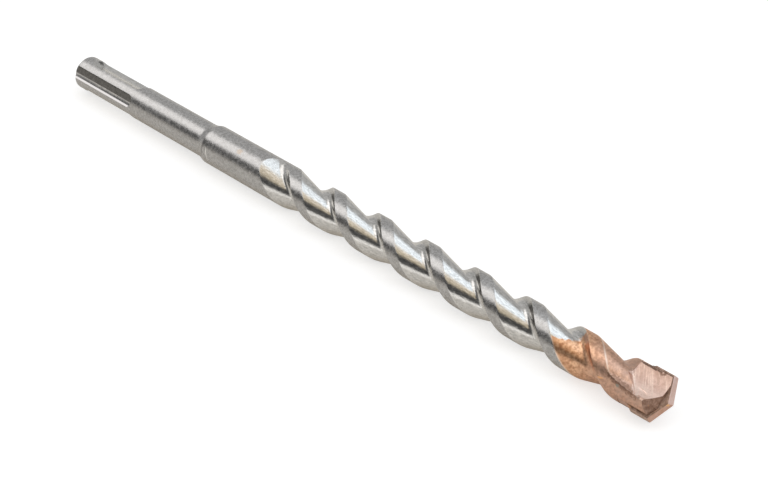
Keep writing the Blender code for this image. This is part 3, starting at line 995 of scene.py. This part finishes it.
def studio_world():
    """Soft strips of light that run alongside the bit, with white seen behind it."""
    world = bpy.data.worlds.new("studio")
    bpy.context.scene.world = world
    sh = Shader(world)
    seen = sh.node("LightPath").outputs["Is Camera Ray"]
    lit = sh.node("Background", {"Color": studio_light(sh)})
    white = sh.node("Background", {"Color": grey(1.0)})
    both = sh.node("MixShader", {0: seen, 1: lit.outputs[0], 2: white.outputs[0]})
    sh.node("OutputWorld", {"Surface": both.outputs[0]})


def table_material():
    """White table that shows the bit's shadow, and that metal mirrors a little warmer."""
    material = bpy.data.materials.new("white_table")
    sh = Shader(material)
    path = sh.node("LightPath")
    seen = path.outputs["Is Camera Ray"]
    mirrored = path.outputs["Is Glossy Ray"]
    strength = sh.math("ADD", sh.math("MULTIPLY", seen, 0.66), sh.math("MULTIPLY", mirrored, 0.25))
    tint = sh.mix(seen, (1.0, 0.90, 0.76), grey(1.0))
    matt = sh.node("BsdfDiffuse", {"Color": grey(0.55)})
    glow = sh.node("Emission", {"Color": tint, "Strength": strength})
    both = sh.node("AddShader", {0: matt.outputs[0], 1: glow.outputs[0]})
    sh.node("OutputMaterial", {"Surface": both.outputs[0]})
    return material


def studio_floor(height):
    bm = bmesh.new()
    bmesh.ops.create_grid(bm, x_segments=1, y_segments=1, size=1.5)
    bm.transform(Matrix.Translation((0.1, 0, height)))
    floor = piece("floor", mesh_of(bm, "floor"))
    floor.data.materials.append(table_material())


def studio_camera():
    camera = bpy.data.cameras.new("camera")
    camera.sensor_width = SENSOR_WIDTH
    camera.lens = FOCAL_LENGTH / IMAGE_WIDTH * SENSOR_WIDTH
    camera.clip_start = 0.01
    item = bpy.data.objects.new("camera", camera)
    bpy.context.scene.collection.objects.link(item)
    axes = Matrix((CAMERA_RIGHT, CAMERA_UP, CAMERA_BACK)).transposed()
    item.matrix_world = Matrix.Translation(CAMERA_AT) @ axes.to_4x4()
    bpy.context.scene.camera = item


# Dressed pieces

def dress_body():
    body = make_body()
    body.data.materials[STEEL] = steel_material()
    body.data.materials[POCKET] = pocket_material()
    body.data.materials[GROUND_END] = rough_material(
        "ground_end", (0.30, 0.17, 0.12), (0.53, 0.34, 0.26), 0.3)
    body.data.materials[GROOVE] = groove_material()
    lay_down(body, 28)
    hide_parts("drill_body")
    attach(body, "root")


def dress_plate():
    plate = make_plate()
    streak = (207.0, -3.7, 50, 1.6, 0.3, (0.84, 0.48, 0.34), 0.6)
    orange_spot = (209.1, -0.5, 0, 0.4, 0.35, (0.98, 0.58, 0.28), 0.9)
    looks = {
        LIPS: plate_material("plate_lips", (0.94, 0.72, 0.66), (0.88, 0.62, 0.53)),
        FACE: rough_material("plate_face", (0.30, 0.19, 0.14), (0.50, 0.34, 0.27), 0.4, [streak]),
        SIDE: rough_material("plate_side", (0.56, 0.39, 0.31), (0.72, 0.52, 0.43)),
        HEELS: plate_material("plate_heels", (0.75, 0.49, 0.40), (0.67, 0.40, 0.29), [orange_spot]),
    }
    for place in (LIPS, FACE, SIDE, HEELS):
        plate.data.materials.append(looks[place])
    lay_down(plate, 40)
    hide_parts("carbide_plate")
    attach(plate, "root")


def dress_braze():
    filler = make_filler()
    filler_look = rough_material("braze_flush", (0.62, 0.41, 0.32), (0.78, 0.54, 0.44))
    filler.data.materials.append(filler_look)
    lay_down(filler, 40)
    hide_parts("braze_filler")
    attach(filler, "root")
    bead_look = rough_material("braze_seam", (0.20, 0.12, 0.08), (0.44, 0.28, 0.21), 0.6)
    for name, side in (("braze_bead_1", 1), ("braze_bead_2", -1)):
        bead = piece(name, make_bead(side))
        bead.data.materials.append(bead_look)
        lay_down(bead, 180)
        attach(bead, "root")


def main():
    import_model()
    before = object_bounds()
    dress_body()
    dress_plate()
    dress_braze()
    bpy.context.view_layer.update()
    studio_world()
    studio_floor(before[0][2])
    studio_camera()
    bpy.context.scene.view_settings.view_transform = "Standard"


main()
